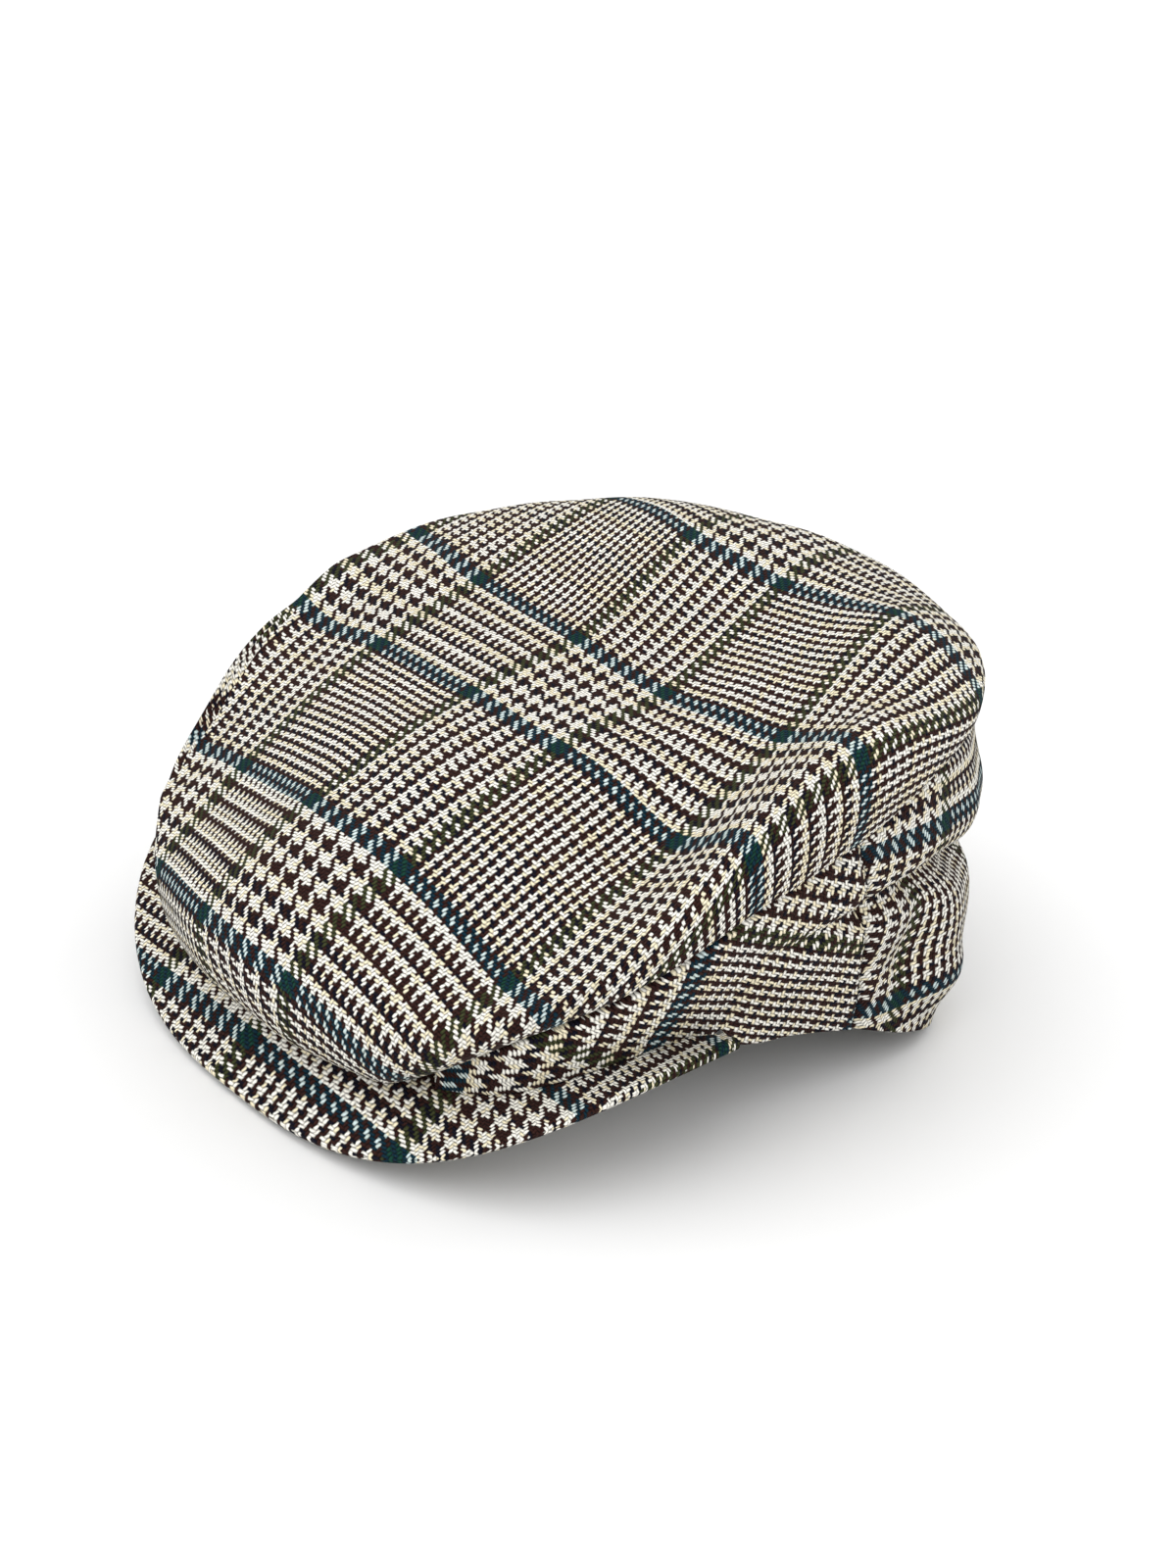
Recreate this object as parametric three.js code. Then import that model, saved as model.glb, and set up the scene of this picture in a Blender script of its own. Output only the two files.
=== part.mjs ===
import * as THREE from 'three';
import { mergeVertices } from 'three/addons/utils/BufferGeometryUtils.js';

// A flat cap of checked tweed, resting on its peak and its back hem.
// Millimetres, +Z up. The peak points along -Y and the wearer's left is +X.

// Crown sizes
const crownHalfWidth = 107;
const crownHalfLength = 113;
const crownHeight = 120;
const outlineSquareness = 2.15;
const rollSharpness = 7;
const leastRoll = 6;

// Peak sizes
const peakHalfWidth = 104;
const peakLength = 82.5;
const peakOffset = -3;
const peakEndSetback = 28;
const peakThickness = 3.4;
const peakDepth = 46;
const peakEndRise = 36;
const peakSlope = 0.76;
const peakCamber = 2.5;
const peakSquareness = 2.5;

// Cloth and clearances
const clothWall = 2.2;
const seamGap = 0.3;
const peakClearance = 0.5;

// Where the panels meet, in degrees of turn from the front of the crown
const sideTipTurn = 32;
const peakEndTurn = 78;
const sideSeamTopTurn = 92;
const sideSeamBottomTurn = 104;

// The seam ring and the lower edge at stations round the crown. turn is in degrees from the
// front, rises are shares of crownHeight, tucks are shares of crownHalfWidth measured inwards
// from the widest outline, and belly is how far the side wall bows out between them.
const STATIONS = [
  { turn: 0, seam: 0.000, roll: 0.380, edge: 0.000, seamTuck: 0.185, edgeTuck: 0.185, belly: 0.000 },
  { turn: 16, seam: 0.100, roll: 0.375, edge: 0.000, seamTuck: 0.165, edgeTuck: 0.165, belly: 0.000 },
  { turn: 32, seam: 0.235, roll: 0.380, edge: 0.000, seamTuck: 0.115, edgeTuck: 0.120, belly: 0.000 },
  { turn: 45, seam: 0.370, roll: 0.460, edge: 0.000, seamTuck: 0.045, edgeTuck: 0.075, belly: 0.005 },
  { turn: 60, seam: 0.490, roll: 0.580, edge: 0.000, seamTuck: 0.018, edgeTuck: 0.085, belly: 0.010 },
  { turn: 76, seam: 0.630, roll: 0.710, edge: 0.320, seamTuck: 0.015, edgeTuck: 0.140, belly: 0.010 },
  { turn: 81, seam: 0.660, roll: 0.740, edge: 0.235, seamTuck: 0.015, edgeTuck: 0.155, belly: 0.010 },
  { turn: 92, seam: 0.720, roll: 0.800, edge: 0.195, seamTuck: 0.015, edgeTuck: 0.150, belly: 0.015 },
  { turn: 104, seam: 0.780, roll: 0.850, edge: 0.145, seamTuck: 0.015, edgeTuck: 0.110, belly: 0.020 },
  { turn: 114, seam: 0.800, roll: 0.860, edge: 0.080, seamTuck: 0.018, edgeTuck: 0.050, belly: 0.015 },
  { turn: 122, seam: 0.800, roll: 0.855, edge: 0.035, seamTuck: 0.020, edgeTuck: 0.020, belly: 0.010 },
  { turn: 130, seam: 0.795, roll: 0.850, edge: 0.000, seamTuck: 0.020, edgeTuck: 0.025, belly: 0.015 },
  { turn: 150, seam: 0.790, roll: 0.860, edge: 0.000, seamTuck: 0.015, edgeTuck: 0.050, belly: 0.030 },
  { turn: 180, seam: 0.780, roll: 0.850, edge: 0.000, seamTuck: 0.015, edgeTuck: 0.080, belly: 0.040 },
];

// The top panel's height before its rim rolls down, in shares of crownHeight. along is the place
// from front (-1) to back (1) as a share of crownHalfLength, and the columns run across the crown
// at the shares of crownHalfWidth in TOP_COLUMNS.
const TOP_COLUMNS = [
  { name: 'farRight', across: -0.90 },
  { name: 'right', across: -0.50 },
  { name: 'middle', across: 0.00 },
  { name: 'left', across: 0.35 },
  { name: 'valley', across: 0.65 },
  { name: 'ridge', across: 0.95 },
];
const TOP_SECTIONS = [
  { along: -1.00, farRight: 0.38, right: 0.42, middle: 0.50, left: 0.48, valley: 0.45, ridge: 0.45 },
  { along: -0.70, farRight: 0.40, right: 0.51, middle: 0.63, left: 0.58, valley: 0.47, ridge: 0.50 },
  { along: -0.24, farRight: 0.67, right: 0.75, middle: 0.77, left: 0.75, valley: 0.66, ridge: 0.88 },
  { along: 0.10, farRight: 0.83, right: 0.87, middle: 0.81, left: 0.80, valley: 0.82, ridge: 1.00 },
  { along: 0.56, farRight: 0.92, right: 0.98, middle: 0.99, left: 0.96, valley: 0.97, ridge: 0.89 },
  { along: 1.00, farRight: 0.91, right: 0.96, middle: 0.98, left: 0.95, valley: 0.88, ridge: 0.82 },
];

// Folds and bulges of the wall. turn is in degrees towards the wearer's left, level runs from the
// seam (0) to the lower edge (1), push is a share of crownHalfWidth, and the spreads are how far
// each one reaches, in degrees and in levels.
const WALL_FOLDS = [
  { turn: 128, level: 0.22, push: 0.040, turnSpread: 30, levelSpread: 0.14 },
  { turn: 124, level: 0.41, push: -0.085, turnSpread: 30, levelSpread: 0.06 },
  { turn: 126, level: 0.60, push: 0.040, turnSpread: 26, levelSpread: 0.14 },
  { turn: 123, level: 0.85, push: 0.075, turnSpread: 12, levelSpread: 0.12 },
  { turn: 111, level: 0.72, push: -0.045, turnSpread: 5, levelSpread: 0.28 },
  { turn: 205, level: 0.41, push: -0.040, turnSpread: 30, levelSpread: 0.09 },
  { turn: 240, level: 0.44, push: -0.035, turnSpread: 18, levelSpread: 0.10 },
];

// Mesh steps
const TOP_RINGS = [0, 0.14, 0.28, 0.41, 0.52, 0.62, 0.70, 0.77, 0.83, 0.88, 0.92, 0.95, 0.975, 0.992, 1];
const rollSteps = 3;
const topSpokes = 90;
const sideSteps = 15;
const backSteps = 44;
const WALL_LEVELS = [0, 0.10, 0.20, 0.28, 0.34, 0.39, 0.43, 0.48, 0.55, 0.65, 0.76, 0.88, 1];
const peakSteps = 36;
const peakRows = 6;

const degree = Math.PI / 180;

// A smooth curve through the rows of a table, read at one place.
function readTable(rows, key, column, at) {
  const last = rows.length - 1;
  const place = Math.min(Math.max(at, rows[0][key]), rows[last][key]);
  let i = 0;
  while (i < last - 1 && place > rows[i + 1][key]) {
    i += 1;
  }
  const slope = (j) => {
    const before = rows[Math.max(j - 1, 0)];
    const after = rows[Math.min(j + 1, last)];
    return (after[column] - before[column]) / (after[key] - before[key]);
  };
  const span = rows[i + 1][key] - rows[i][key];
  const u = (place - rows[i][key]) / span;
  const rise = 2 * u ** 3 - 3 * u ** 2 + 1;
  const leave = u ** 3 - 2 * u ** 2 + u;
  const arrive = u ** 3 - u ** 2;
  return rise * rows[i][column] + (1 - rise) * rows[i + 1][column]
    + span * (leave * slope(i) + arrive * slope(i + 1));
}

function station(column, turn) {
  const folded = Math.abs(((turn + 180) % 360 + 360) % 360 - 180);
  return readTable(STATIONS, 'turn', column, folded);
}

// The widest outline of the crown, seen from above, pulled inwards by tuck.
function outline(turn, tuck) {
  const side = Math.sin(turn * degree);
  const back = -Math.cos(turn * degree);
  const power = 2 / outlineSquareness;
  const x = crownHalfWidth * Math.sign(side) * Math.abs(side) ** power;
  const y = crownHalfLength * Math.sign(back) * Math.abs(back) ** power;
  const share = 1 - tuck / Math.hypot(x, y);
  return new THREE.Vector2(x * share, y * share);
}

function topHeight(x, y) {
  const along = y / crownHalfLength;
  const section = TOP_COLUMNS.map((column) => ({
    across: column.across,
    height: readTable(TOP_SECTIONS, 'along', column.name, along),
  }));
  return crownHeight * readTable(section, 'across', 'height', x / crownHalfWidth);
}

// How far out over the peak a point lies: 0 at the peak's middle line, 1 on its rim, more beyond.
function peakShare(x, y) {
  const across = Math.abs(x - peakOffset) / peakHalfWidth;
  const ahead = Math.max(-y - peakEndSetback, 0) / peakLength;
  return (across ** peakSquareness + ahead ** peakSquareness) ** (1 / peakSquareness);
}

function peakTop(x, y) {
  const inward = Math.max(1 - peakShare(x, y), 0) * peakLength;
  const ends = peakEndRise * Math.min(Math.abs(x - peakOffset) / peakHalfWidth, 1) ** 3;
  const camber = peakCamber * Math.sin(Math.PI * Math.min(inward / peakDepth, 1));
  return peakThickness + ends + peakSlope * inward + camber;
}

function overPeak(turn) {
  const folded = Math.abs(((turn + 180) % 360 + 360) % 360 - 180);
  return folded < peakEndTurn;
}

// The height of a lower edge at a plan point: on the peak's top face, or the hem's own height.
function edgeHeight(turn, x, y) {
  const hem = Math.max(crownHeight * station('edge', turn), 0);
  return overPeak(turn) ? peakTop(x, y) + peakClearance : hem;
}

// The lowest a seam can run over a plan point: its own height, or clear of the peak's top face.
function seamHeight(turn, x, y) {
  const height = crownHeight * station('seam', turn);
  return overPeak(turn) ? Math.max(height, peakTop(x, y) + peakClearance + seamGap / 2) : height;
}

function seamPoint(turn) {
  const plan = outline(turn, crownHalfWidth * station('seamTuck', turn));
  return new THREE.Vector3(plan.x, plan.y, seamHeight(turn, plan.x, plan.y));
}

// A point of the top panel: rings 0 to 1 cross the top, rings 1 to 2 roll under to the seam.
function topPoint(turn, ring) {
  const seam = seamPoint(turn);
  const rim = outline(turn, 0);
  const widest = Math.min(crownHeight * station('roll', turn), topHeight(rim.x, rim.y));
  const rollHeight = Math.max(widest, seam.z + leastRoll);
  if (ring <= 1) {
    const x = rim.x * ring;
    const y = rim.y * ring;
    const lift = Math.sqrt(Math.max(1 - ring ** rollSharpness, 0));
    return new THREE.Vector3(x, y, rollHeight + (topHeight(x, y) - rollHeight) * lift);
  }
  const under = (ring - 1) * 90 * degree;
  const tuck = crownHalfWidth * station('seamTuck', turn) * (1 - Math.cos(under));
  const plan = outline(turn, tuck);
  const foot = seam.z + seamGap / 2;
  return new THREE.Vector3(plan.x, plan.y, rollHeight + (foot - rollHeight) * Math.sin(under));
}

// A point of the wall below the seam: level 0 at the seam, 1 at the lower edge.
function wallPoint(turn, level) {
  const seamTuck = station('seamTuck', turn);
  const edgeTuck = station('edgeTuck', turn);
  const belly = station('belly', turn) * Math.sin(Math.PI * level ** 0.8);
  let push = 0;
  for (const fold of WALL_FOLDS) {
    const round = (((turn - fold.turn) % 360 + 540) % 360 - 180) / fold.turnSpread;
    const down = (level - fold.level) / fold.levelSpread;
    push += fold.push * Math.exp(-(round ** 2) - down ** 2);
  }
  const settle = Math.min(level, 1 - level) * 4;
  const tuck = seamTuck + (edgeTuck - seamTuck) * level - belly - push * Math.min(settle, 1);
  const plan = outline(turn, crownHalfWidth * tuck);
  const seam = seamPoint(turn);
  const top = seam.z - seamGap / 2;
  const foot = edgeHeight(turn, plan.x, plan.y);
  return new THREE.Vector3(plan.x, plan.y, top + (Math.min(foot, top) - top) * level);
}

// The direction into the crown at a point of a sheet, from its neighbours.
function inwardAt(sheet, u, v) {
  const step = 0.004;
  const du = sheet(u + step, v).sub(sheet(u - step, v));
  const dv = sheet(u, v + step).sub(sheet(u, v - step));
  return du.cross(dv).normalize();
}

function inwards(point) {
  return new THREE.Vector3(-point.x, -point.y, 0).normalize();
}

// Collects triangles from named points and turns them into one closed mesh.
function solidFrom(name, points, faces, material) {
  const geometry = new THREE.BufferGeometry();
  const flat = points.flatMap((p) => [p.x, p.y, p.z]);
  geometry.setAttribute('position', new THREE.Float32BufferAttribute(flat, 3));
  geometry.setIndex(faces.flat());
  const merged = mergeVertices(geometry, 1e-4);
  merged.computeVertexNormals();
  const mesh = new THREE.Mesh(merged, material);
  mesh.name = name;
  return mesh;
}

// A wall between an outer and an inner grid of points with the same rows and columns.
function sheetSolid(name, outer, inner, material) {
  const rows = outer.length;
  const columns = outer[0].length;
  const points = [...outer.flat(), ...inner.flat()];
  const half = rows * columns;
  const id = (layer, row, column) => layer * half + row * columns + column;
  const faces = [];
  const quad = (a, b, c, d) => {
    faces.push([a, b, c], [a, c, d]);
  };
  for (let r = 0; r < rows - 1; r += 1) {
    for (let c = 0; c < columns - 1; c += 1) {
      quad(id(0, r, c), id(0, r + 1, c), id(0, r + 1, c + 1), id(0, r, c + 1));
      quad(id(1, r, c), id(1, r, c + 1), id(1, r + 1, c + 1), id(1, r + 1, c));
    }
  }
  for (let c = 0; c < columns - 1; c += 1) {
    quad(id(0, 0, c), id(0, 0, c + 1), id(1, 0, c + 1), id(1, 0, c));
    quad(id(0, rows - 1, c + 1), id(0, rows - 1, c), id(1, rows - 1, c), id(1, rows - 1, c + 1));
  }
  for (let r = 0; r < rows - 1; r += 1) {
    quad(id(0, r + 1, 0), id(0, r, 0), id(1, r, 0), id(1, r + 1, 0));
    quad(id(0, r + 1, columns - 1), id(1, r + 1, columns - 1), id(1, r, columns - 1),
      id(0, r, columns - 1));
  }
  return solidFrom(name, points, faces, material);
}

const tweed = (shade) => new THREE.MeshStandardMaterial({ color: shade, roughness: 0.95, metalness: 0 });

// Crown top: a round sheet of spokes and rings, with the same sheet inside it.
function makeCrownTop() {
  const rings = [...TOP_RINGS];
  for (let i = 1; i <= rollSteps; i += 1) {
    rings.push(1 + i / rollSteps);
  }
  const outer = [];
  const inner = [];
  const sheet = (turn, ring) => topPoint(turn / degree, ring);
  rings.slice(1).forEach((ring, row) => {
    const last = row === rings.length - 2;
    const outerRow = [];
    const innerRow = [];
    for (let s = 0; s < topSpokes; s += 1) {
      const turn = (s * 360) / topSpokes;
      const point = topPoint(turn, ring);
      const into = last || ring === 1
        ? inwards(point)
        : inwardAt(sheet, turn * degree, Math.min(ring, ring < 1 ? 0.99 : 1.98));
      const under = point.clone().addScaledVector(into, clothWall);
      if (last) {
        under.z = seamHeight(turn, under.x, under.y) + seamGap / 2;
      }
      outerRow.push(point);
      innerRow.push(under);
    }
    outer.push(outerRow);
    inner.push(innerRow);
  });
  const points = [...outer.flat(), ...inner.flat()];
  const rows = outer.length;
  const half = rows * topSpokes;
  const crownPole = points.push(topPoint(0, 0)) - 1;
  const innerPole = points.push(topPoint(0, 0).sub(new THREE.Vector3(0, 0, clothWall))) - 1;
  const id = (layer, row, spoke) => layer * half + row * topSpokes + (spoke % topSpokes);
  const faces = [];
  for (let s = 0; s < topSpokes; s += 1) {
    faces.push([crownPole, id(0, 0, s), id(0, 0, s + 1)]);
    faces.push([innerPole, id(1, 0, s + 1), id(1, 0, s)]);
    for (let r = 0; r < rows - 1; r += 1) {
      faces.push([id(0, r, s), id(0, r + 1, s), id(0, r + 1, s + 1)]);
      faces.push([id(0, r, s), id(0, r + 1, s + 1), id(0, r, s + 1)]);
      faces.push([id(1, r, s), id(1, r + 1, s + 1), id(1, r + 1, s)]);
      faces.push([id(1, r, s), id(1, r, s + 1), id(1, r + 1, s + 1)]);
    }
    const e = rows - 1;
    faces.push([id(0, e, s), id(1, e, s), id(1, e, s + 1)]);
    faces.push([id(0, e, s), id(1, e, s + 1), id(0, e, s + 1)]);
  }
  return solidFrom('crown_top', points, faces, tweed(0xb9ad98));
}

// A wall panel between two slanted seams, each given by its turn at the top and at the bottom.
function makeWall(name, first, second, steps, shade) {
  const outer = [];
  const inner = [];
  const sheet = (turn, level) => wallPoint(turn / degree, level);
  for (const level of WALL_LEVELS) {
    const from = first.top + (first.bottom - first.top) * level;
    const to = second.top + (second.bottom - second.top) * level;
    const outerRow = [];
    const innerRow = [];
    for (let c = 0; c <= steps; c += 1) {
      const turn = from + ((to - from) * c) / steps;
      const point = wallPoint(turn, level);
      const ends = level === 0 || level === 1;
      const into = ends ? inwards(point) : inwardAt(sheet, turn * degree, level);
      const under = point.clone().addScaledVector(into, clothWall);
      if (overPeak(turn)) {
        const seam = seamHeight(turn, under.x, under.y) - seamGap / 2;
        const foot = peakTop(under.x, under.y) + peakClearance;
        under.z = Math.min(Math.max(under.z, foot), seam);
      }
      outerRow.push(point);
      innerRow.push(under);
    }
    outer.push(outerRow);
    inner.push(innerRow);
  }
  return sheetSolid(name, outer, inner, tweed(shade));
}

// Peak: a crescent board from its rim back to the root under the crown.
function makePeak() {
  const top = [];
  const bottom = [];
  for (let r = 0; r <= peakRows; r += 1) {
    const topRow = [];
    const bottomRow = [];
    for (let c = 0; c <= peakSteps; c += 1) {
      const swing = (-90 + (180 * c) / peakSteps) * degree;
      const power = 2 / peakSquareness;
      const rootShare = 0.94 - (peakDepth / peakLength - 0.06) * Math.cos(swing) ** 0.8;
      const share = rootShare + ((1 - rootShare) * r) / peakRows;
      const side = Math.sin(swing);
      const x = peakOffset + peakHalfWidth * share * Math.sign(side) * Math.abs(side) ** power;
      const y = -peakEndSetback - peakLength * share * Math.cos(swing) ** power;
      const z = peakTop(x, y);
      topRow.push(new THREE.Vector3(x, y, z));
      bottomRow.push(new THREE.Vector3(x, y, z - peakThickness));
    }
    top.push(topRow);
    bottom.push(bottomRow);
  }
  return sheetSolid('peak', top, bottom, tweed(0xa89c88));
}

const cap = new THREE.Group();
const halfGap = (seamGap / 2 / crownHalfWidth) / degree;
const tip = { top: sideTipTurn, bottom: sideTipTurn };
const leftSeam = { top: sideSeamTopTurn, bottom: sideSeamBottomTurn };
const shift = (seam, by) => ({ top: seam.top + by, bottom: seam.bottom + by });
const mirrored = (seam) => ({ top: 360 - seam.top, bottom: 360 - seam.bottom });

cap.add(makeCrownTop());
cap.add(makeWall('side_left', tip, shift(leftSeam, -halfGap), sideSteps, 0xb2a691));
cap.add(makeWall('side_right', mirrored(shift(leftSeam, -halfGap)), mirrored(tip), sideSteps, 0xb2a691));
cap.add(makeWall('back_panel', shift(leftSeam, halfGap), mirrored(shift(leftSeam, halfGap)),
  backSteps, 0xac9f8a));
cap.add(makePeak());

// The origin is the middle of the cap's footprint, on the surface it rests on.
const bounds = new THREE.Box3().setFromObject(cap);
const middle = bounds.getCenter(new THREE.Vector3());
cap.position.set(-middle.x, -middle.y, -bounds.min.z);

export default cap;
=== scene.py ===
import math

import bpy
import numpy as np
from mathutils import Matrix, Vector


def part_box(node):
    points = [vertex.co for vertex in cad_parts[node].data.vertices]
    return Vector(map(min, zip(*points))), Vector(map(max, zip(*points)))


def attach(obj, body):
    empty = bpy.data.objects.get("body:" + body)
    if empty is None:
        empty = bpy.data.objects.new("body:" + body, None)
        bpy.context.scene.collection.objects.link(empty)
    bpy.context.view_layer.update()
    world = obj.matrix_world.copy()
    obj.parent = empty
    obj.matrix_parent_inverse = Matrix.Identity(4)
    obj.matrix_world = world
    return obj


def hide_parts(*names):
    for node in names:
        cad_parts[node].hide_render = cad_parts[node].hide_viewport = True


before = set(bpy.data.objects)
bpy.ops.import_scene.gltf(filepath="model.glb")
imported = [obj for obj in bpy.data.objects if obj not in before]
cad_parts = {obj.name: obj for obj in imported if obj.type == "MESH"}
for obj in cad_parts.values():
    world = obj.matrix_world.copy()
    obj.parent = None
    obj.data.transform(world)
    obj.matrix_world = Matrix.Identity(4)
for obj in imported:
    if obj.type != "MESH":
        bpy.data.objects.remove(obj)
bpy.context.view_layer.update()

MM = 0.001
RNG = np.random.default_rng(7)

# Sizes of the cap in millimetres, the same as those of the plain solids
CROWN_HALF_WIDTH = 107.0
CROWN_HALF_LENGTH = 113.0
CROWN_HEIGHT = 120.0
OUTLINE_SQUARENESS = 2.15
ROLL_SHARPNESS = 7.0
LEAST_ROLL = 6.0
PEAK_HALF_WIDTH = 104.0
PEAK_LENGTH = 82.5
PEAK_OFFSET = -3.0
PEAK_END_SETBACK = 28.0
PEAK_THICKNESS = 3.4
PEAK_DEPTH = 46.0
PEAK_END_RISE = 36.0
PEAK_SLOPE = 0.76
PEAK_CAMBER = 2.5
PEAK_SQUARENESS = 2.5
CLOTH_WALL = 2.2
SEAM_GAP = 0.3
PEAK_CLEARANCE = 0.5
PEAK_END_TURN = 78.0
SIDE_TIP_TURN = 32.0
SIDE_SEAM_TOP = 92.0
SIDE_SEAM_BOTTOM = 104.0

# turn from the front in degrees, rises in shares of the height, tucks in shares of the half width
STATION_COLUMNS = ("turn", "seam", "roll", "edge", "seam_tuck", "edge_tuck", "belly")
STATIONS = np.array([
    (0, 0.000, 0.380, 0.000, 0.185, 0.185, 0.000),
    (16, 0.100, 0.375, 0.000, 0.165, 0.165, 0.000),
    (32, 0.235, 0.380, 0.000, 0.115, 0.120, 0.000),
    (45, 0.370, 0.460, 0.000, 0.045, 0.075, 0.005),
    (60, 0.490, 0.580, 0.000, 0.018, 0.085, 0.010),
    (76, 0.630, 0.710, 0.320, 0.015, 0.140, 0.010),
    (81, 0.660, 0.740, 0.235, 0.015, 0.155, 0.010),
    (92, 0.720, 0.800, 0.195, 0.015, 0.150, 0.015),
    (104, 0.780, 0.850, 0.145, 0.015, 0.110, 0.020),
    (114, 0.800, 0.860, 0.080, 0.018, 0.050, 0.015),
    (122, 0.800, 0.855, 0.035, 0.020, 0.020, 0.010),
    (130, 0.795, 0.850, 0.000, 0.020, 0.025, 0.015),
    (150, 0.790, 0.860, 0.000, 0.015, 0.050, 0.030),
    (180, 0.780, 0.850, 0.000, 0.015, 0.080, 0.040),
])

# Height of the top in shares of the crown's height, from front to back (rows) and across
TOP_ACROSS = np.array([-0.90, -0.50, 0.00, 0.35, 0.65, 0.95])
TOP_ALONG = np.array([-1.00, -0.70, -0.24, 0.10, 0.56, 1.00])
TOP_HEIGHTS = np.array([
    (0.38, 0.42, 0.50, 0.48, 0.45, 0.45),
    (0.40, 0.51, 0.63, 0.58, 0.47, 0.50),
    (0.67, 0.75, 0.77, 0.75, 0.66, 0.88),
    (0.83, 0.87, 0.81, 0.80, 0.82, 1.00),
    (0.92, 0.98, 0.99, 0.96, 0.97, 0.89),
    (0.91, 0.96, 0.98, 0.95, 0.88, 0.82),
])

# turn, level, push, turn spread, level spread
WALL_FOLDS = [
    (128, 0.22, 0.040, 30, 0.14),
    (124, 0.41, -0.085, 30, 0.06),
    (126, 0.60, 0.040, 26, 0.14),
    (123, 0.85, 0.075, 12, 0.12),
    (111, 0.72, -0.045, 5, 0.28),
    (205, 0.41, -0.040, 30, 0.09),
    (240, 0.44, -0.035, 18, 0.10),
]


def hermite(keys, values, at):
    """A smooth curve through a table's rows, read at many places."""
    keys = np.asarray(keys, float)
    values = np.asarray(values, float)
    place = np.clip(at, keys[0], keys[-1])
    last = len(keys) - 1
    i = np.clip(np.searchsorted(keys, place, side="left") - 1, 0, last - 1)
    before = np.maximum(np.arange(last + 1) - 1, 0)
    after = np.minimum(np.arange(last + 1) + 1, last)
    slopes = (values[after] - values[before]) / (keys[after] - keys[before])
    span = keys[i + 1] - keys[i]
    u = (place - keys[i]) / span
    rise = 2 * u ** 3 - 3 * u ** 2 + 1
    leave = u ** 3 - 2 * u ** 2 + u
    arrive = u ** 3 - u ** 2
    flat = rise * values[i] + (1 - rise) * values[i + 1]
    return flat + span * (leave * slopes[i] + arrive * slopes[i + 1])


def folded(turn):
    """Degrees from the front, the same on both sides."""
    return np.abs((turn + 180) % 360 - 180)


def station(column, turn):
    """One column of the table of stations, read at any turn."""
    return hermite(STATIONS[:, 0], STATIONS[:, STATION_COLUMNS.index(column)], folded(turn))


def outline(turn, tuck):
    """The crown's plan, drawn in towards the middle by a tuck in millimetres."""
    side = np.sin(np.radians(turn))
    back = -np.cos(np.radians(turn))
    power = 2 / OUTLINE_SQUARENESS
    x = CROWN_HALF_WIDTH * np.sign(side) * np.abs(side) ** power
    y = CROWN_HALF_LENGTH * np.sign(back) * np.abs(back) ** power
    share = 1 - tuck / np.hypot(x, y)
    return x * share, y * share


def top_height(x, y):
    """Height of the crown's top, with its dents, over a place in plan."""
    along = y / CROWN_HALF_LENGTH
    across = x / CROWN_HALF_WIDTH
    columns = np.stack([hermite(TOP_ALONG, TOP_HEIGHTS[:, c], along) for c in range(6)])
    place = np.clip(across, TOP_ACROSS[0], TOP_ACROSS[-1])
    i = np.clip(np.searchsorted(TOP_ACROSS, place, side="left") - 1, 0, 4)
    before = np.maximum(np.arange(6) - 1, 0)
    after = np.minimum(np.arange(6) + 1, 5)
    gaps = (TOP_ACROSS[after] - TOP_ACROSS[before]).reshape((6,) + (1,) * x.ndim)
    slopes = (columns[after] - columns[before]) / gaps

    def pick(table, index):
        return np.take_along_axis(table, index[None], 0)[0]

    span = TOP_ACROSS[i + 1] - TOP_ACROSS[i]
    u = (place - TOP_ACROSS[i]) / span
    rise = 2 * u ** 3 - 3 * u ** 2 + 1
    leave = u ** 3 - 2 * u ** 2 + u
    arrive = u ** 3 - u ** 2
    flat = rise * pick(columns, i) + (1 - rise) * pick(columns, i + 1)
    return CROWN_HEIGHT * (flat + span * (leave * pick(slopes, i) + arrive * pick(slopes, i + 1)))


def peak_top(x, y):
    """Height of the peak's upper face: sloped, cambered and raised at its ends."""
    across = np.abs(x - PEAK_OFFSET) / PEAK_HALF_WIDTH
    ahead = np.maximum(-y - PEAK_END_SETBACK, 0) / PEAK_LENGTH
    share = (across ** PEAK_SQUARENESS + ahead ** PEAK_SQUARENESS) ** (1 / PEAK_SQUARENESS)
    inward = np.maximum(1 - share, 0) * PEAK_LENGTH
    ends = PEAK_END_RISE * np.minimum(across, 1) ** 3
    camber = PEAK_CAMBER * np.sin(np.pi * np.minimum(inward / PEAK_DEPTH, 1))
    return PEAK_THICKNESS + ends + PEAK_SLOPE * inward + camber


def over_peak(turn):
    return folded(turn) < PEAK_END_TURN


def seam_height(turn, x, y):
    """The seam under the roll, which stays clear of the peak."""
    height = CROWN_HEIGHT * station("seam", turn)
    clear = peak_top(x, y) + PEAK_CLEARANCE + SEAM_GAP / 2
    return np.where(over_peak(turn), np.maximum(height, clear), height)


def edge_height(turn, x, y):
    """The wall's free edge: on the peak in front, at the hem behind it."""
    hem = np.maximum(CROWN_HEIGHT * station("edge", turn), 0)
    rest = peak_top(x, y) + PEAK_CLEARANCE
    past = np.clip((y + PEAK_END_SETBACK + 3) / 6, 0, 1)
    low = np.minimum(rest, hem)
    return np.where(over_peak(turn), rest + (low - rest) * past, hem)


def seam_point(turn):
    x, y = outline(turn, CROWN_HALF_WIDTH * station("seam_tuck", turn))
    return x, y, seam_height(turn, x, y)


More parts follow.
